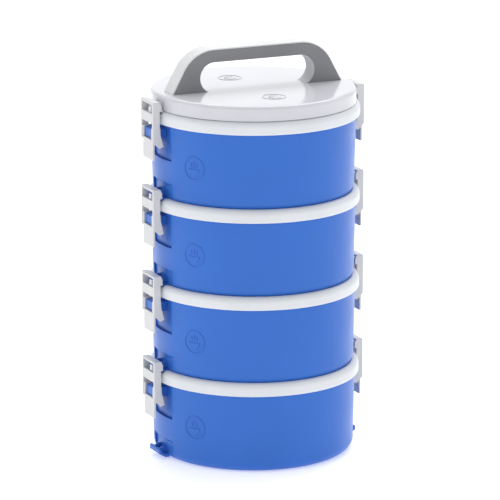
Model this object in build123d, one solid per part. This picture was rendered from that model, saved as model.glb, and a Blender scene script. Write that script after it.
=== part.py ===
from build123d import *
import os
from math import atan2, cos, degrees, radians, sin, sqrt

# Four-tier stacking food carrier.  Millimetres, +Z up.  The origin is the centre of
# the foot that the carrier stands on, and the clips and the handle lie along X.
# Every tier is drawn in its own frame: z = 0 is its seat, the level where its wall
# meets the lid below it, and the level of the next seat is z = PITCH.

# ---- stack ----
TIERS = 4
PITCH = 70.4             # height one closed tier adds to the stack
NEST = 3.8               # depth of a foot inside the lid below it
JOIN = 0.4               # how far features of one piece reach into each other

# ---- container ----
WALL = 2.2
BASE_R = 80.7            # outer radius above the rounded corner
RIM_R = 81.9             # outer radius at the rim
CORNER_R = 9.0           # rounding between wall and foot
INNER_CORNER_R = 5.6
FOOT_IN_R = 66.0         # inner radius of the foot ring
FOOT_H = 1.2             # height of the foot ring under the floor
RIM_DROP = 5.6           # rim top below the next seat

# ---- pockets in the wall behind the clips, which give the finger tabs room ----
POCKET_R = 79.0
POCKET_UPPER = (-39.1, -13.2)    # from the next seat
POCKET_LOWER = (-8.0, 11.0)      # from the own seat
POCKET_RAMP = 3.4                # the pockets end in 45 degree ramps at the top
POCKET_HALF_W = 18.6

# ---- lid ----
BAND_H = 10.5            # visible height of the lid's rim
BAND_R = 85.0
BAND_TOP_FILLET = 4.5
BAND_LIP_FILLET = 1.4
SKIRT_IN_R = 82.4
PLATE = 2.2
ROOF = -4.2              # roof of the gasket channel, from the next seat
PLUG_R = (76.3, 78.9)    # inner and outer radius of the plug ring
PLUG_END = -8.9
PLUG_CHAMFER = 0.8
NEST_GAP = 0.4           # gap round the rounded corner of a nested foot
GASKET_GAP = 0.2         # on each side of the gasket in its channel
GASKET_BEVEL = 0.3

# ---- hinge between a container and its clips ----
HINGE_X = 86.6
HINGE_DROP = 18.1        # hinge axis below the next seat
LUG_X = 90.4             # flat nose of the hinge lug
LUG_HALF_W = 7.4
LUG_HALF_H = 3.7
LUG_EDGE = 0.8           # rounding of the nose
LUG_CORE_X = (80.6, 83.8)
LUG_CORE_Y = (0.9, 4.8)  # one core on each side of a middle rib
PEG_R = 1.6
PEG_END_PLAY = 0.3
SOCKET_R = 1.66
SOCKET_DEPTH = 2.0

# ---- catch that the next clip down hooks over ----
CATCH_HALF_W = 9.7
LIP_X = (85.0, 86.8)     # inner and outer face of the upturned lip
LIP_Z = (1.2, 4.9)
LIP_CHAMFER = 0.6
LIP_FOOT_Z = 2.8         # where the lip's inner face meets the shelf
CATCH_ROOT_Z = (-2.0, 0.6)
SHELF_BEND_X = (81.4, 81.8)      # where the shelf's lower and upper faces start to rise
GUSSET_TOP = (4.0, 6.2)  # length from the root, and height
NOTCH_START_X = 77.4     # notch in the lid's rim round the root of the catch
NOTCH_HALF_W = 10.5
NOTCH_FLOOR = -2.6

# ---- clip, heights from the next seat ----
CLIP_X = 91.9            # outer face
CLIP_HALF_W = 12.7
CHEEK_T = 2.5
CHEEK_IN_X = (84.5, 86.2)        # inner edge of a cheek above and beside the lid's rim
CHEEK_TOP_CUT = (1.6, 3.0)       # depth and height of the cut at its upper inner corner
CHEEK_STEP_Z = 0.4
CHEEK_BEND_Z = -15.6
CHEEK_HEEL = (83.2, -27.8)
CHEEK_TIP = (86.3, -29.2)
PAD_X = (84.6, 91.6)     # pads inside the cheeks, beside the hinge lug, hold the pegs
PAD_Z = (-22.3, -13.3)
PAD_GAP = 0.3
RAIL_Z = (5.7, 8.0)
HOOK_X = 85.5            # inner edge of the rail, over the catch
HOOK_CHAMFER = 0.6
FRONT_T = 2.2
CROSSBAR_Z = (-9.0, -1.2)
SILL_Z = -22.3           # lower edge of the lower window
SILL_T = 1.3
FRONT_END_Z = -23.9
TAB_X = (89.7, 91.1)
TAB_END_Z = -39.0
TAB_HALF_W = 10.3
TAB_CORNER_R = 0.9
CLIP_EDGE = 0.4

# ---- cover ----
COVER_H = 12.0
COVER_R = (82.2, 81.9)   # at the seam and below the top edge
COVER_SEAM_Z = (0.6, 0.3)        # inner and outer edge of the skirt, over the lid's rounded rim
COVER_EDGE_R = 3.0
COVER_T = 2.4
SPIGOT_R = (68.0, 70.5)
RIB_T = 1.6
RIB_LOW = 4.6
RIB_COUNT = 12
BOSS_R = 4.6
BOSS_H = 4.0

# ---- handle ----
GRIP_HALF = 8.5          # half the handle's thickness
FOOT_X = 73.9
HANDLE_H = 34.3
HANDLE_LEAN = 0.53       # inward lean of the legs per unit of height
HANDLE_CORNER_R = 30.0
HANDLE_EDGE = 0.8
LEG_RUN = 8.0            # the legs are drawn this far below the cover, then cut off at it
HOLE_R = 12.0
HOLE_Z = 11.0            # centre line of the finger hole above the cover
HOLE_REACH = 37.0        # centres of the hole's round ends
GRIP_T = 1.2             # thickness of the grips on the faces
LINING_T = 2.2           # and round the hole
GRIP_INSET = 1.1         # rim of the frame round each grip
GRIP_EDGE = 0.9          # rounding along the frame
GRIP_HOLE_EDGE = 1.6     # rounding along the hole
SCREW_X = (55.0, 64.0)
SCREW_R = 1.9
SCREW_HOLE_R = 2.15
PILOT_R = 1.95
SCREW_HEAD_R = 3.7
SCREW_HEAD_H = 2.2
SCREW_BITE = 9.5         # thread length inside the handle's foot
DRIVE = (4.6, 1.0, 0.8)  # length, width and depth of the cross in a screw's head

# ---- raised emblem: a ring round a steaming bowl ----
EMBLEM_R = 9.8
EMBLEM_LINE = 1.1
EMBLEM_RISE = 0.35
BOWL_R = 5.1
BOWL_TOP = -0.6
STEAM_START = 1.0
STEAM = ((-2.6, 3.2), (0, 4.4), (2.6, 3.2))      # place and height of each wisp
EMBLEM_ANGLE = -149.1
EMBLEM_DROP = 40.6
COVER_EMBLEMS = ((-4.9, 35.9), (-2.8, -46.1))

# ---- derived levels ----
CORNER_X = BASE_R - CORNER_R
CORNER_Z = CORNER_R - NEST
FLOOR_UNDER = FOOT_H - NEST
FLOOR_TOP = FLOOR_UNDER + WALL
RIM_TOP = PITCH - RIM_DROP
BAND_LOW = PITCH - BAND_H
HINGE_Z = PITCH - HINGE_DROP
CHEEK_IN = CLIP_HALF_W - CHEEK_T
COVER_UNDER = COVER_H - COVER_T
COVER_SKIRT_IN = COVER_R[0] - WALL


def seat(tier):
    """Height of a tier's seat above the table; the cover sits as tier TIERS + 1."""
    return NEST + (tier - 1) * PITCH


def section(*edges):
    """A closed face in the XZ plane from edges drawn as (radius, height)."""
    return Plane.XZ * make_face(edges)


def spun(*edges):
    return revolve(section(*edges), Axis.Z)


def prism(points, half_width):
    """A polygon in the XZ plane, extruded both ways along Y."""
    return extrude(section(Polyline(*points, close=True)), half_width, both=True)


def block(x, y, z):
    """A box between three (low, high) pairs."""
    size = (x[1] - x[0], y[1] - y[0], z[1] - z[0])
    centre = ((x[0] + x[1]) / 2, (y[0] + y[1]) / 2, (z[0] + z[1]) / 2)
    return Pos(*centre) * Box(*size)


def both_sides(solid):
    """The solid and its copy turned half round the vertical axis."""
    return solid + Rot(0, 0, 180) * solid


def bar_along_y(radius, x, y, z):
    """A round bar along Y between y[0] and y[1]."""
    return Pos(x, (y[0] + y[1]) / 2, z) * Rot(90, 0, 0) * Cylinder(radius, y[1] - y[0])


def wall_radius(z):
    """Outer radius of a container's tapered wall."""
    return BASE_R + (RIM_R - BASE_R) * (z - CORNER_Z) / (BAND_LOW - CORNER_Z)


def pockets(inset):
    """The stock of the pockets on both sides, grown by inset."""
    r = POCKET_R - inset
    ramp = POCKET_RAMP + inset
    rings = None
    for low, high in (POCKET_LOWER, (PITCH + POCKET_UPPER[0], PITCH + POCKET_UPPER[1])):
        bottom = low - inset
        top = high + inset / 2
        ring = spun(Polyline(
            (r, bottom), (r, top), (r + ramp, top + ramp), (r + ramp + WALL, top + ramp),
            (r + ramp + WALL, bottom), close=True))
        rings = ring if rings is None else rings + ring
    half = POCKET_HALF_W + inset
    return rings & block((-2 * POCKET_R, 2 * POCKET_R), (-half, half), (-PITCH, 2 * PITCH))


def emblem():
    """Flat drawing of the emblem: a ring, a bowl on a foot and three wisps of steam."""
    drawing = Circle(EMBLEM_R) - Circle(EMBLEM_R - EMBLEM_LINE)
    lower_half = Pos(0, -BOWL_R) * Rectangle(2 * BOWL_R, 2 * BOWL_R)
    drawing += Pos(0, BOWL_TOP) * (Circle(BOWL_R) & lower_half)
    drawing += Pos(0, BOWL_TOP - BOWL_R) * Rectangle(BOWL_R, EMBLEM_LINE)
    for x, height in STEAM:
        wisp = SlotOverall(height, EMBLEM_LINE, rotation=90)
        drawing += Pos(x, STEAM_START + height / 2) * wisp
    return drawing


def wall_emblem():
    """The emblem as relief that follows the container's tapered wall."""
    z = PITCH - EMBLEM_DROP
    angle = radians(EMBLEM_ANGLE)
    outward = (cos(angle), sin(angle), 0)
    along = (-sin(angle), cos(angle), 0)
    face = Plane(origin=(BASE_R * outward[0], BASE_R * outward[1], z), x_dir=along, z_dir=outward)
    low, high = z - EMBLEM_R - 1, z + EMBLEM_R + 1
    skin = spun(Polyline(
        (wall_radius(low) - EMBLEM_RISE, low), (wall_radius(low) + EMBLEM_RISE, low),
        (wall_radius(high) + EMBLEM_RISE, high), (wall_radius(high) - EMBLEM_RISE, high),
        close=True))
    return extrude(face * emblem(), CORNER_R, both=True) & skin


def hinge_lug():
    """Block with a flat nose; its ends hold the clip's pegs, its underside is cored."""
    low, high = HINGE_Z - LUG_HALF_H, HINGE_Z + LUG_HALF_H
    lug = block((POCKET_R - WALL / 2, LUG_X), (-LUG_HALF_W, LUG_HALF_W), (low, high))
    lug = fillet(lug.edges().filter_by(Axis.Y).group_by(Axis.X)[-1], LUG_EDGE)
    for side in (-1, 1):
        ends = sorted((side * LUG_CORE_Y[0], side * LUG_CORE_Y[1]))
        lug -= block(LUG_CORE_X, ends, (low - 1, high - WALL))
        ends = sorted((side * (LUG_HALF_W - SOCKET_DEPTH), side * (LUG_HALF_W + 1)))
        lug -= bar_along_y(SOCKET_R, HINGE_X, ends, HINGE_Z)
    return lug


def catch_lug(root_x):
    """Shelf with an upturned lip that the clip below hooks over, and two gussets."""
    inner, outer = LIP_X
    low, high = LIP_Z
    hook = prism([
        (root_x, CATCH_ROOT_Z[0]), (SHELF_BEND_X[0], CATCH_ROOT_Z[0]), (outer, low),
        (outer, high - LIP_CHAMFER), (outer - LIP_CHAMFER, high), (inner, high),
        (inner, LIP_FOOT_Z), (SHELF_BEND_X[1], CATCH_ROOT_Z[1]),
        (root_x, CATCH_ROOT_Z[1])], CATCH_HALF_W)
    gusset = prism([
        (root_x, CATCH_ROOT_Z[1] - JOIN), (SHELF_BEND_X[1], CATCH_ROOT_Z[1] - JOIN),
        (inner + JOIN, LIP_FOOT_Z - JOIN), (inner + JOIN, LIP_FOOT_Z + RIB_T),
        (root_x + GUSSET_TOP[0], GUSSET_TOP[1]), (root_x, GUSSET_TOP[1])], RIB_T / 2)
    for y in (-CATCH_HALF_W / 2, CATCH_HALF_W / 2):
        hook += Pos(0, y, 0) * gusset
    return hook


def container():
    corner = CenterArc((CORNER_X, CORNER_Z), CORNER_R, -90, 90)
    outer = spun(
        Polyline((0, RIM_TOP), (0, FLOOR_UNDER), (FOOT_IN_R, FLOOR_UNDER), (FOOT_IN_R, -NEST),
                 (CORNER_X, -NEST)),
        corner,
        Polyline((BASE_R, CORNER_Z), (RIM_R, BAND_LOW), (RIM_R, RIM_TOP), (0, RIM_TOP)))
    inner_r = BASE_R - WALL
    inner_z = FLOOR_TOP + INNER_CORNER_R
    inner = spun(
        Polyline((0, PITCH), (0, FLOOR_TOP), (inner_r - INNER_CORNER_R, FLOOR_TOP)),
        CenterArc((inner_r - INNER_CORNER_R, inner_z), INNER_CORNER_R, -90, 90),
        Polyline((inner_r, inner_z), (RIM_R - WALL, BAND_LOW), (RIM_R - WALL, PITCH), (0, PITCH)))
    shell = (outer - pockets(0)) - (inner - pockets(WALL))
    shell += wall_emblem()
    shell += both_sides(hinge_lug())
    shell += both_sides(catch_lug(POCKET_R - WALL / 2))
    return shell


def lid():
    """Lid with z = 0 at the seat of the tier above it."""
    nest_r = CORNER_R + NEST_GAP
    seat_r = CORNER_X + sqrt(nest_r ** 2 - CORNER_Z ** 2)
    plate_r = CORNER_X + sqrt(nest_r ** 2 - (CORNER_Z + NEST) ** 2)
    start = -degrees(atan2(CORNER_Z, seat_r - CORNER_X))
    stop = -degrees(atan2(CORNER_Z + NEST, plate_r - CORNER_X))
    fillet_x = BAND_R - BAND_TOP_FILLET
    lip_x = BAND_R - BAND_LIP_FILLET
    lip_z = BAND_LIP_FILLET - BAND_H
    body = spun(
        Line((SKIRT_IN_R, -BAND_H), (lip_x, -BAND_H)),
        CenterArc((lip_x, lip_z), BAND_LIP_FILLET, -90, 90),
        Line((BAND_R, lip_z), (BAND_R, -BAND_TOP_FILLET)),
        CenterArc((fillet_x, -BAND_TOP_FILLET), BAND_TOP_FILLET, 0, 90),
        Line((fillet_x, 0), (seat_r, 0)),
        CenterArc((CORNER_X, CORNER_Z), nest_r, start, stop - start),
        Polyline(
            (plate_r, -NEST), (0, -NEST), (0, -NEST - PLATE), (PLUG_R[0], -NEST - PLATE),
            (PLUG_R[0], PLUG_END), (PLUG_R[1] - PLUG_CHAMFER, PLUG_END),
            (PLUG_R[1], PLUG_END + PLUG_CHAMFER), (PLUG_R[1], ROOF), (SKIRT_IN_R, ROOF),
            (SKIRT_IN_R, -BAND_H)))
    notch = block(
        (NOTCH_START_X, BAND_R + 1), (-NOTCH_HALF_W, NOTCH_HALF_W), (NOTCH_FLOOR, 1))
    return body - both_sides(notch)


def lid_gasket():
    """Flat sealing ring in the lid's channel, between its roof and the container's rim."""
    inner, outer = PLUG_R[1] + GASKET_GAP, SKIRT_IN_R - GASKET_GAP
    low, high = -RIM_DROP, ROOF
    bevel = GASKET_BEVEL
    return spun(Polyline(
        (inner + bevel, low), (outer - bevel, low), (outer, low + bevel), (outer, high - bevel),
        (outer - bevel, high), (inner + bevel, high), (inner, high - bevel), (inner, low + bevel),
        close=True))


def clip():
    """Rocker clip on the +X side, with z = 0 at the seat of the tier above it.

    A press on the lower tab swings the upper rail off the catch."""
    cheek = prism([
        (CHEEK_IN_X[0] + CHEEK_TOP_CUT[0], RAIL_Z[1]), (CLIP_X, RAIL_Z[1]),
        (CLIP_X, FRONT_END_Z), CHEEK_TIP, CHEEK_HEEL, (CHEEK_IN_X[1], CHEEK_BEND_Z),
        (CHEEK_IN_X[1], CHEEK_STEP_Z), (CHEEK_IN_X[0], CHEEK_STEP_Z),
        (CHEEK_IN_X[0], RAIL_Z[1] - CHEEK_TOP_CUT[1])], CHEEK_T / 2)
    inside = CHEEK_IN + JOIN / 4
    body = prism([
        (HOOK_X + HOOK_CHAMFER, RAIL_Z[0]), (CLIP_X, RAIL_Z[0]), (CLIP_X, RAIL_Z[1]),
        (HOOK_X + HOOK_CHAMFER, RAIL_Z[1]), (HOOK_X, RAIL_Z[1] - HOOK_CHAMFER),
        (HOOK_X, RAIL_Z[0] + HOOK_CHAMFER)], inside)
    for side in (-1, 1):
        body += Pos(0, side * (CLIP_HALF_W - CHEEK_T / 2), 0) * cheek
        ends = sorted((side * (LUG_HALF_W + PAD_GAP), side * inside))
        body += block(PAD_X, ends, PAD_Z)
        ends = sorted((side * (LUG_HALF_W - SOCKET_DEPTH + PEG_END_PLAY), side * inside))
        body += bar_along_y(PEG_R, HINGE_X, ends, -HINGE_DROP)
    body += block((CLIP_X - FRONT_T, CLIP_X), (-inside, inside), CROSSBAR_Z)
    slope_out = CLIP_X - TAB_X[1]
    slope_in = CLIP_X - SILL_T - TAB_X[0]
    body += prism([
        (CLIP_X - SILL_T, SILL_Z), (CLIP_X, SILL_Z), (CLIP_X, FRONT_END_Z),
        (TAB_X[1], FRONT_END_Z - slope_out), (TAB_X[0], FRONT_END_Z - slope_out),
        (TAB_X[0], SILL_Z - slope_in)], inside)
    tab = block(TAB_X, (-TAB_HALF_W, TAB_HALF_W), (TAB_END_Z, FRONT_END_Z))
    body += fillet(tab.edges().filter_by(Axis.X).group_by(Axis.Z)[0], TAB_CORNER_R)
    top_edges = body.edges().filter_by(Axis.Y).filter_by(
        lambda e: e.center().X > CLIP_X - 0.01 and e.center().Z > 0)
    side_edges = body.edges().filter_by(Axis.Z).filter_by(
        lambda e: e.center().X > CLIP_X - 0.01 and abs(e.center().Y) > CLIP_HALF_W - 0.01)
    return chamfer(top_edges + side_edges, CLIP_EDGE)


def screw_places():
    return [(side * x, 0) for side in (-1, 1) for x in SCREW_X]


def top_cover():
    """Cover with z = 0 at its seat on the top lid."""
    top_r = COVER_R[1] - COVER_EDGE_R
    edge_z = COVER_H - COVER_EDGE_R
    body = spun(
        Line((COVER_R[0], COVER_SEAM_Z[1]), (COVER_R[1], edge_z)),
        CenterArc((top_r, edge_z), COVER_EDGE_R, 0, 90),
        Polyline(
            (top_r, COVER_H), (0, COVER_H), (0, COVER_UNDER), (SPIGOT_R[0], COVER_UNDER),
            (SPIGOT_R[0], -NEST), (SPIGOT_R[1], -NEST), (SPIGOT_R[1], COVER_UNDER),
            (COVER_SKIRT_IN, COVER_UNDER), (COVER_SKIRT_IN, COVER_SEAM_Z[0]),
            (COVER_R[0], COVER_SEAM_Z[1])))
    rib_x = (SPIGOT_R[1] - JOIN, COVER_SKIRT_IN + JOIN)
    rib = block(rib_x, (-RIB_T / 2, RIB_T / 2), (RIB_LOW, COVER_UNDER + JOIN))
    for index in range(RIB_COUNT):
        body += Rot(0, 0, (index + 0.5) * 360 / RIB_COUNT) * rib
    for x, y in screw_places():
        boss_z = COVER_UNDER + (JOIN - BOSS_H) / 2
        body += Pos(x, y, boss_z) * Cylinder(BOSS_R, BOSS_H + JOIN)
        body -= Pos(x, y, COVER_UNDER) * Cylinder(SCREW_HOLE_R, 4 * BOSS_H)
    for x, y in COVER_EMBLEMS:
        body += Pos(x, y, COVER_H - EMBLEM_RISE) * extrude(emblem(), 2 * EMBLEM_RISE)
    return body + both_sides(catch_lug(COVER_SKIRT_IN + JOIN))


def handle_side(inset):
    """Side view of the handle above the cover, without its hole, shrunk by inset.

    The legs run on below the cover before they are cut, so they aren't shrunk there."""
    base = FOOT_X + HANDLE_LEAN * LEG_RUN
    top = FOOT_X - HANDLE_LEAN * HANDLE_H
    shape = make_face(Polyline(
        (-base, -LEG_RUN), (base, -LEG_RUN), (top, HANDLE_H), (-top, HANDLE_H), close=True))
    shape = fillet(shape.vertices().group_by(Axis.Y)[-1], HANDLE_CORNER_R)
    if inset:
        shape = offset(shape, -inset, kind=Kind.INTERSECTION)
    return shape & above_cover()


def above_cover():
    """Everything of a side view that lies above the cover."""
    return Pos(0, HANDLE_H) * Rectangle(4 * FOOT_X, 2 * HANDLE_H)


def finger_hole(radius):
    return Pos(0, HOLE_Z) * SlotCenterToCenter(2 * HOLE_REACH, 2 * radius)


def handle_frame():
    """Handle with z = 0 on the cover, with a pocket for a grip on each face."""
    body = extrude(Plane.XZ * handle_side(0), GRIP_HALF, both=True)
    rims = body.edges().filter_by(
        lambda e: abs(abs(e.center().Y) - GRIP_HALF) < 0.01 and e.center().Z > 0.5)
    body = fillet(rims, HANDLE_EDGE)
    body -= extrude(Plane.XZ * finger_hole(HOLE_R + LINING_T), GRIP_HALF, both=True)
    for y in (-GRIP_HALF, GRIP_HALF):
        body -= Pos(0, y, 0) * extrude(Plane.XZ * handle_side(GRIP_INSET), GRIP_T, both=True)
    for x, y in screw_places():
        body -= Pos(x, y, SCREW_BITE / 2) * Cylinder(PILOT_R, SCREW_BITE + 1)
    return body


def handle_grip():
    """Front grip: a panel in the frame's pocket, and half of the hole's lining."""
    panel = extrude(Plane.XZ * (handle_side(GRIP_INSET) - finger_hole(HOLE_R)), GRIP_T)
    ring = (finger_hole(HOLE_R + LINING_T) - finger_hole(HOLE_R)) & above_cover()
    grip = Pos(0, GRIP_T - GRIP_HALF, 0) * panel + extrude(Plane.XZ * ring, GRIP_HALF)
    rims = grip.edges().filter_by(
        lambda e: abs(e.center().Y + GRIP_HALF) < 0.01 and e.center().Z > 0.5)
    hole_box = (HOLE_REACH + HOLE_R + 0.1, HOLE_Z + HOLE_R + 0.1)
    hole_rims = rims.filter_by(
        lambda e: abs(e.center().X) < hole_box[0] and e.center().Z < hole_box[1])
    grip = fillet(hole_rims, GRIP_HOLE_EDGE)
    rims = grip.edges().filter_by(
        lambda e: abs(e.center().Y + GRIP_HALF) < 0.01 and e.center().Z > 0.5)
    outer_rims = rims.filter_by(
        lambda e: abs(e.center().X) > hole_box[0] or e.center().Z > HANDLE_H - 2 * GRIP_INSET)
    return fillet(outer_rims, GRIP_EDGE)


def handle_screws():
    """Four screws, up through the cover's bosses into the handle's feet."""
    head_z = COVER_UNDER - BOSS_H - SCREW_HEAD_H
    length = COVER_T + BOSS_H + SCREW_BITE
    screw = Pos(0, 0, head_z + SCREW_HEAD_H / 2) * Cylinder(SCREW_HEAD_R, SCREW_HEAD_H)
    screw += Pos(0, 0, head_z + SCREW_HEAD_H + length / 2) * Cylinder(SCREW_R, length)
    across, width, depth = DRIVE
    screw -= Pos(0, 0, head_z) * (Box(width, across, 2 * depth) + Box(across, width, 2 * depth))
    return Compound(children=[Pos(x, y, 0) * screw for x, y in screw_places()])


def write(node, shape, height):
    export_step(Pos(0, 0, height) * shape, "parts/" + node + ".step")


os.makedirs("parts", exist_ok=True)
container_shape = container()
lid_shape = lid()
gasket_shape = lid_gasket()
clip_shape = clip()
for tier in range(1, TIERS + 1):
    write("container_" + str(tier), container_shape, seat(tier))
    write("lid_" + str(tier), lid_shape, seat(tier + 1))
    write("lid_gasket_" + str(tier), gasket_shape, seat(tier + 1))
    write("clip_" + str(tier) + "_right", clip_shape, seat(tier + 1))
    write("clip_" + str(tier) + "_left", Rot(0, 0, 180) * clip_shape, seat(tier + 1))

COVER_SEAT = seat(TIERS + 1)
write("top_cover", top_cover(), COVER_SEAT)
write("handle_frame", handle_frame(), COVER_SEAT + COVER_H)
grip_shape = handle_grip()
write("handle_grip_front", grip_shape, COVER_SEAT + COVER_H)
write("handle_grip_back", Rot(0, 0, 180) * grip_shape, COVER_SEAT + COVER_H)
write("handle_screws", handle_screws(), COVER_SEAT)
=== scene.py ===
from math import cos, pi, radians, sin

import bpy
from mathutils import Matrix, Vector


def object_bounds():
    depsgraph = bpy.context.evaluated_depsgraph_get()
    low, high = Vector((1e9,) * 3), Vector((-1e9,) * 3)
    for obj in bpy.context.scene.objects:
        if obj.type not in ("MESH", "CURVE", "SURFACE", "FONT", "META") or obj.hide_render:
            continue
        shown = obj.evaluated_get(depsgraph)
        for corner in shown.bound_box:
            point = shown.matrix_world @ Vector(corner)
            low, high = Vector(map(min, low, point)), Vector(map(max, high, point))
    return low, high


# Looks of a four-tier food carrier, in metres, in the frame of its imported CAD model.
# Every visible piece is a CAD node: this script gives each one its material, and adds
# the floor, the light and the camera.

TIERS = 4

# ---- camera ----
CAMERA_AZIMUTH = -24.0          # degrees, 0 looks along +Y
CAMERA_DISTANCE = 3.339         # horizontal, from the carrier's axis
CAMERA_HEIGHT = 0.9912
CAMERA_SIDESTEP = -0.0027
CAMERA_TILT = 13.936            # degrees below the horizon
CAMERA_LENS = 308.5             # mm on a 36 mm sensor

# ---- light ----
SKY = 0.745
FLOOR_GLOW = 0.42               # the floor gives off light, like a light table
FLOOR_SIZE = 30.0
SOFT_BOXES = (                  # name, azimuth, elevation, distance, width, height, power
    ("left_soft_box", -75, 18, 2.2, 1.4, 1.6, 2.9),
    ("right_soft_box", 110, 18, 2.2, 1.4, 1.6, 2.6),
    ("top_soft_box", 170, 60, 2.4, 2.0, 2.0, 36),
    ("back_soft_box", 180, 14, 3.0, 3.4, 1.0, 5),
)

# ---- detail of the surfaces: sizes in metres, scales in cells per metre ----
FLOW_SCALE = 22                 # flow marks and uneven tint of moulded plastic
FLOW_DEPTH = 0.00025
POLISH_SCALE = 60               # patches of duller and glossier plastic
GRAIN_SCALE = 1400              # grain that the mould leaves
PEBBLE_SCALE = 1500             # grain of the soft grips
PEBBLE_DEPTH = 0.00004
RUB_SCALE = 45                  # rubbed patches of the soft grips
CLOUD_SCALE = 90                # clouds in the silicone
SKIN_SCALE = 800                # skin of the silicone
SKIN_DEPTH = 0.00002
SPANGLE_SCALE = 500             # crystals of the zinc
SPANGLE_DEPTH = 0.00003
FLOOR_SCALE = 3

# ---- grips ----
GRIP_FACE = 0.0083              # from the handle's middle plane; a grip is GRIP_GREY beyond it
GRIP_FADE = 0.0002              # depth in from that over which it turns to the lighter lining grey, which is painted light
GRIP_GREY = (0.228, 0.230, 0.244, 1)
# painted light: a lighter copy of the grip grey for the lining of the finger hole, standing in
# for the light it catches
PAINTED_LIGHT_LINING_GREY = (0.56, 0.56, 0.58, 1)

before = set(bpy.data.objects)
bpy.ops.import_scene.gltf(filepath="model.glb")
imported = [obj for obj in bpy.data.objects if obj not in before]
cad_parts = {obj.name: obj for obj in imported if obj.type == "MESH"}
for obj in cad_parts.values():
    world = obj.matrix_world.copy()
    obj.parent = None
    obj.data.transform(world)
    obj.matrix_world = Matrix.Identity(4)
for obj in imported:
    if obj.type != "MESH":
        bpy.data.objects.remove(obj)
cad_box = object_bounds()


# ---------------------------------------------------------------- node helpers
def node(tree, kind, inputs=None, **settings):
    """A new shader node. Inputs are numbers, colours or another node's output."""
    made = tree.nodes.new(kind)
    for name, value in settings.items():
        setattr(made, name, value)
    for name, value in (inputs or {}).items():
        if isinstance(value, bpy.types.NodeSocket):
            tree.links.new(value, made.inputs[name])
        else:
            made.inputs[name].default_value = value
    return made


def noise(tree, scale, detail=2.0, roughness=0.5):
    """Solid noise whose scale is in cells per metre of the object."""
    place = node(tree, "ShaderNodeTexCoord").outputs["Object"]
    made = node(tree, "ShaderNodeTexNoise",
                {"Vector": place, "Scale": scale, "Detail": detail, "Roughness": roughness})
    return made.outputs["Fac"]


def spread(tree, value, low, high):
    """Maps the middle of a noise, 0.3 to 0.7, onto low to high."""
    made = node(tree, "ShaderNodeMapRange",
                {"Value": value, "From Min": 0.3, "From Max": 0.7, "To Min": low, "To Max": high})
    return made.outputs["Result"]


def tint(tree, color, factor):
    """The colour made darker or lighter by a varying factor near 1."""
    made = node(tree, "ShaderNodeHueSaturation", {"Color": color, "Value": factor})
    return made.outputs["Color"]


def rounded(tree, radius):
    """Shading normal with every sharp edge rounded to that radius."""
    return node(tree, "ShaderNodeBevel", {"Radius": radius}, samples=4).outputs["Normal"]


def bump(tree, height, distance, normal, strength=1.0):
    made = node(tree, "ShaderNodeBump",
                {"Height": height, "Distance": distance, "Normal": normal, "Strength": strength})
    return made.outputs["Normal"]


def new_material(name):
    made = bpy.data.materials.new(name)
    made.use_nodes = True
    return made, made.node_tree, made.node_tree.nodes["Principled BSDF"]


def connect(tree, shader, **values):
    """Sets or links the shader's inputs; an underscore in a name stands for a space."""
    for name, value in values.items():
        socket = shader.inputs[name.replace("_", " ")]
        if isinstance(value, bpy.types.NodeSocket):
            tree.links.new(value, socket)
        else:
            socket.default_value = value


# ------------------------------------------------------------------- materials
def moulded_plastic(name, color, gloss, grain=0.000012, edge=0.0004, ior=1.5):
    """Injection-moulded plastic: fine mould grain, faint flow marks and uneven polish."""
    made, tree, shader = new_material(name)
    flow = noise(tree, FLOW_SCALE, detail=3)
    polish = noise(tree, POLISH_SCALE, detail=4)
    normal = bump(tree, flow, FLOW_DEPTH, rounded(tree, edge), strength=0.25)
    normal = bump(tree, noise(tree, GRAIN_SCALE), grain, normal)
    connect(tree, shader,
            Base_Color=tint(tree, color, spread(tree, flow, 0.97, 1.03)),
            Roughness=spread(tree, polish, gloss - 0.04, gloss + 0.05),
            Normal=normal, IOR=ior)
    return made


def soft_grip():
    """Soft-touch rubber with a fine pebbled grain; the lining round the hole is a lighter grey,
    which is painted light.
    """
    made, tree, shader = new_material("grip_soft_grey")
    place = node(tree, "ShaderNodeTexCoord").outputs["Object"]
    across = node(tree, "ShaderNodeSeparateXYZ", {"Vector": place}).outputs["Y"]
    depth = node(tree, "ShaderNodeMath", {0: across}, operation="ABSOLUTE").outputs["Value"]
    # painted light: mask that turns the grip to the lighter lining grey on the hole's lining
    painted_light_lining = node(tree, "ShaderNodeMapRange",
                  {"Value": depth, "From Min": GRIP_FACE, "From Max": GRIP_FACE - GRIP_FADE})
    color = node(tree, "ShaderNodeMix", {"Factor": painted_light_lining.outputs["Result"]}, data_type="RGBA")
    color.inputs["A"].default_value = GRIP_GREY
    color.inputs["B"].default_value = PAINTED_LIGHT_LINING_GREY
    pebble = node(tree, "ShaderNodeTexVoronoi", {"Vector": place, "Scale": PEBBLE_SCALE})
    normal = bump(tree, pebble.outputs["Distance"], PEBBLE_DEPTH, rounded(tree, 0.0003),
                  strength=0.7)
    rubbed = noise(tree, RUB_SCALE, detail=4)
    connect(tree, shader,
            Base_Color=tint(tree, color.outputs["Result"], spread(tree, rubbed, 0.94, 1.06)),
            Roughness=spread(tree, rubbed, 0.5, 0.62), Normal=normal)
    return made


def silicone():
    """Milky silicone rubber."""
    made, tree, shader = new_material("gasket_silicone")
    cloud = noise(tree, CLOUD_SCALE, detail=3)
    normal = bump(tree, noise(tree, SKIN_SCALE), SKIN_DEPTH, rounded(tree, 0.0003))
    connect(tree, shader,
            Base_Color=tint(tree, (0.68, 0.70, 0.72, 1), spread(tree, cloud, 0.96, 1.03)),
            Roughness=spread(tree, cloud, 0.38, 0.5), Subsurface_Weight=0.3,
            Subsurface_Scale=0.003, Normal=normal)
    return made


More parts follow.
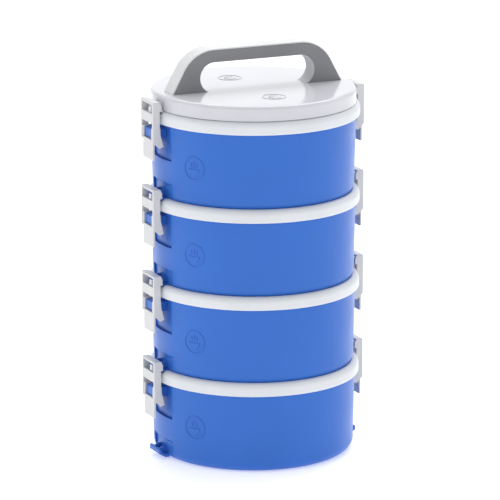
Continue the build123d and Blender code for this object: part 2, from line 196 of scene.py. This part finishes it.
def zinc_steel():
    """Zinc-plated steel with a fine spangle."""
    made, tree, shader = new_material("screw_steel")
    spangle = noise(tree, SPANGLE_SCALE, detail=5)
    connect(tree, shader,
            Base_Color=tint(tree, (0.56, 0.56, 0.58, 1), spread(tree, spangle, 0.85, 1.1)),
            Metallic=1.0, Roughness=spread(tree, spangle, 0.28, 0.45),
            Normal=bump(tree, spangle, SPANGLE_DEPTH, rounded(tree, 0.0002)))
    return made


def assign(made, *names):
    for name in names:
        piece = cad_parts[name]
        piece.data.materials.clear()
        piece.data.materials.append(made)


def per_tier(*patterns):
    return [pattern.format(tier) for tier in range(1, TIERS + 1) for pattern in patterns]


assign(moulded_plastic("container_blue", (0.035, 0.153, 0.575, 1), gloss=0.32, ior=1.32),
       *per_tier("container_{}"))
assign(moulded_plastic("lid_white", (0.71, 0.735, 0.77, 1), gloss=0.34), *per_tier("lid_{}"))
assign(moulded_plastic("clip_white", (0.62, 0.625, 0.645, 1), gloss=0.34, edge=0.0005),
       *per_tier("clip_{}_left", "clip_{}_right"))
assign(moulded_plastic("cover_white", (0.635, 0.645, 0.69, 1), gloss=0.12, grain=0.000003),
       "top_cover")
assign(moulded_plastic("handle_white", (0.70, 0.71, 0.72, 1), gloss=0.26, edge=0.0005),
       "handle_frame")
assign(soft_grip(), "handle_grip_front", "handle_grip_back")
assign(silicone(), *per_tier("lid_gasket_{}"))
assign(zinc_steel(), "handle_screws")


# ----------------------------------------------------------------------- stage
def floor():
    """Large pale floor at table level."""
    half = FLOOR_SIZE / 2
    mesh = bpy.data.meshes.new("floor")
    mesh.from_pydata([(-half, -half, 0), (half, -half, 0), (half, half, 0), (-half, half, 0)],
                     [], [(0, 1, 2, 3)])
    made, tree, shader = new_material("floor_pale")
    cloud = spread(tree, noise(tree, FLOOR_SCALE), 0.99, 1.01)
    connect(tree, shader,
            Base_Color=tint(tree, (0.9, 0.9, 0.9, 1), cloud),
            Roughness=0.9, Specular_IOR_Level=0.1, Emission_Color=(1, 1, 1, 1),
            Emission_Strength=FLOOR_GLOW)
    mesh.materials.append(made)
    piece = bpy.data.objects.new("floor", mesh)
    bpy.context.scene.collection.objects.link(piece)


def soft_box(name, azimuth, elevation, distance, width, height, power):
    """An area light aimed at the carrier's middle; azimuth 0 is the camera's side."""
    turn = radians(CAMERA_AZIMUTH + azimuth)
    lift = radians(elevation)
    middle = Vector((0, 0, cad_box[1][2] / 2))
    away = Vector((sin(turn) * cos(lift), -cos(turn) * cos(lift), sin(lift)))
    light = bpy.data.lights.new(name, "AREA")
    light.shape = "RECTANGLE"
    light.size = width
    light.size_y = height
    light.energy = power
    piece = bpy.data.objects.new(name, light)
    piece.location = middle + distance * away
    piece.rotation_euler = away.to_track_quat("Z", "Y").to_euler()
    bpy.context.scene.collection.objects.link(piece)


def sky():
    world = bpy.data.worlds.new("sky")
    world.use_nodes = True
    world.node_tree.nodes["Background"].inputs["Color"].default_value = (1, 1, 1, 1)
    world.node_tree.nodes["Background"].inputs["Strength"].default_value = SKY
    bpy.context.scene.world = world


def camera():
    turn = radians(CAMERA_AZIMUTH)
    data = bpy.data.cameras.new("camera")
    data.sensor_width = 36
    data.lens = CAMERA_LENS
    data.clip_end = 100
    piece = bpy.data.objects.new("camera", data)
    right = Vector((cos(turn), sin(turn), 0))
    back = Vector((sin(turn), -cos(turn), 0))
    foot = CAMERA_SIDESTEP * right + CAMERA_DISTANCE * back
    piece.location = foot + Vector((0, 0, CAMERA_HEIGHT))
    piece.rotation_euler = (pi / 2 - radians(CAMERA_TILT), 0, turn)
    bpy.context.scene.collection.objects.link(piece)
    bpy.context.scene.camera = piece


floor()
sky()
for values in SOFT_BOXES:
    soft_box(*values)
camera()
bpy.context.scene.view_settings.view_transform = "Standard"
